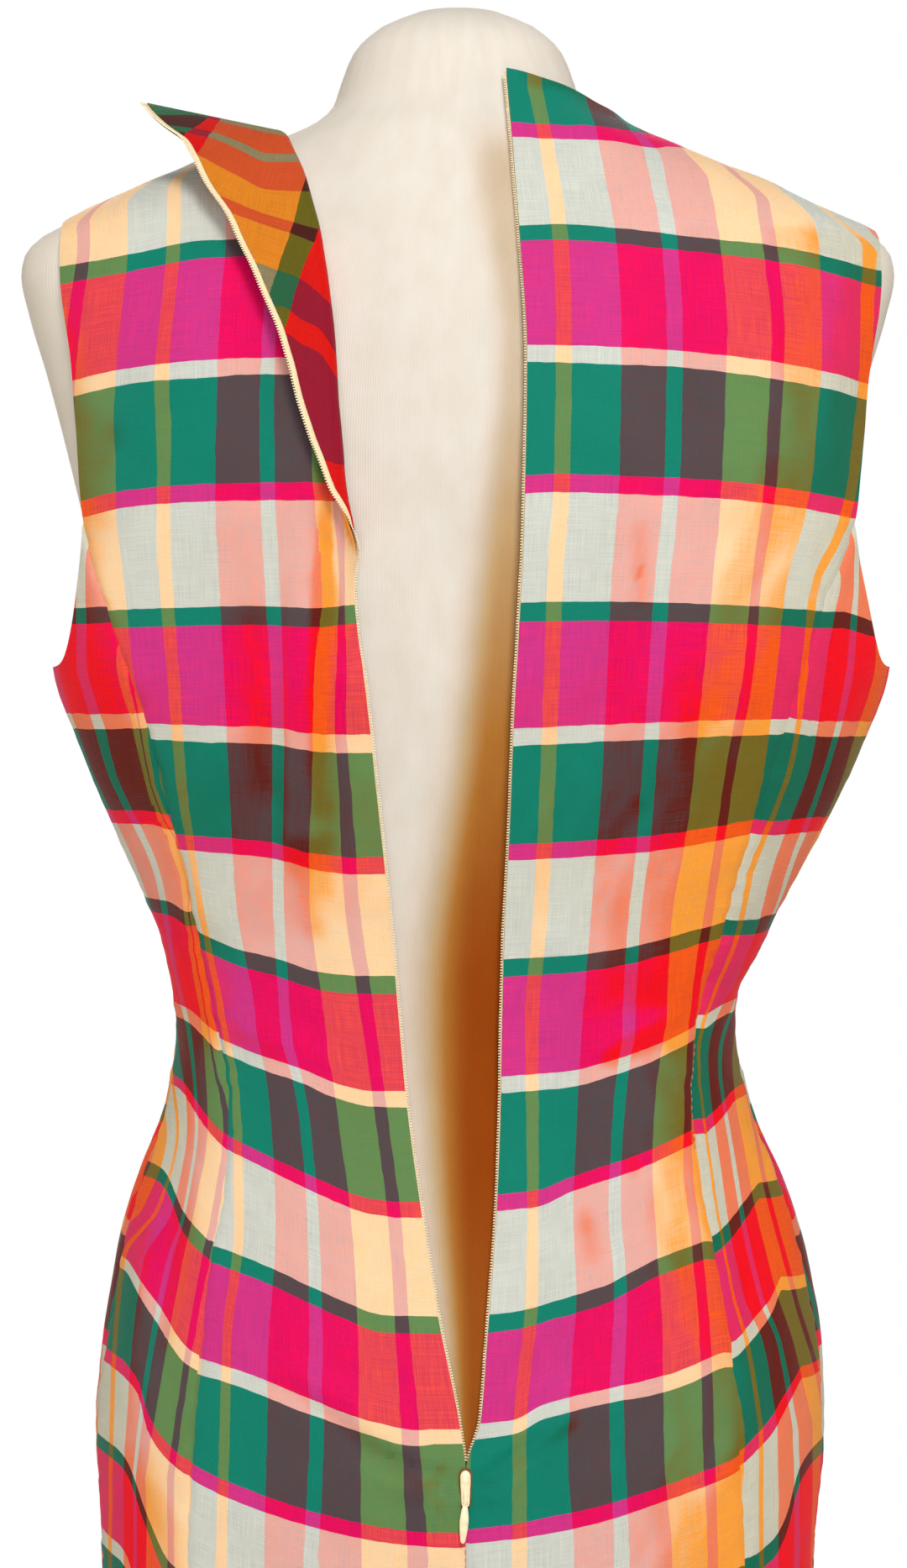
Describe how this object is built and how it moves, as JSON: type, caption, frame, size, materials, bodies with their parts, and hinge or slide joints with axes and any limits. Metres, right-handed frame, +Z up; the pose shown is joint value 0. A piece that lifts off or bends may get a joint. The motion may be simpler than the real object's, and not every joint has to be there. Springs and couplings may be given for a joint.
{
  "type": "sheath dress on a dress form",
  "caption": "Sleeveless checked sheath dress, zip open down the back with one neck corner folded out, worn by a limbless dress form on a plain round stand.",
  "frame": {"origin": "centre of the stand base's underside, on the floor", "axes": "+Z up; the dress's front faces -Y and its open back faces +Y; the wearer's left is +X"},
  "size_m": [0.4, 0.4, 1.443],
  "materials": {
    "plaid_cloth": "fine slubby plain weave with a slight sheen, in a traditional madras check",
    "facing_cloth": "wrong side of the same check, cut crosswise",
    "zip_tape": "cream twill tape with a fine coil",
    "enamelled_metal": "cream enamel",
    "jersey": "cream ribbed jersey, stretched smooth",
    "painted_steel": "satin cream paint"
  },
  "bodies": {
    "dress": {"centre_back_left": "plaid_cloth", "centre_back_right": "plaid_cloth", "side_back_left": "plaid_cloth", "side_back_right": "plaid_cloth", "side_front_left": "plaid_cloth", "side_front_right": "plaid_cloth", "centre_front": "plaid_cloth", "neck_facing_left": "facing_cloth", "zip_tape_left": "zip_tape", "zip_tape_right": "zip_tape", "zip_slider": "enamelled_metal", "dress_form": "jersey", "stand_pole": "painted_steel", "stand_base": "painted_steel"},
    "pull_tab": {"zip_pull": "enamelled_metal"}
  },
  "joints": [
    {"name": "pull_tab_swing", "type": "hinge", "parent": "dress", "child": "pull_tab", "pos_m": [-0.003, 0.11723, 0.8227], "axis": [1, 0, 0], "range_deg": [0, 160]}
  ]
}
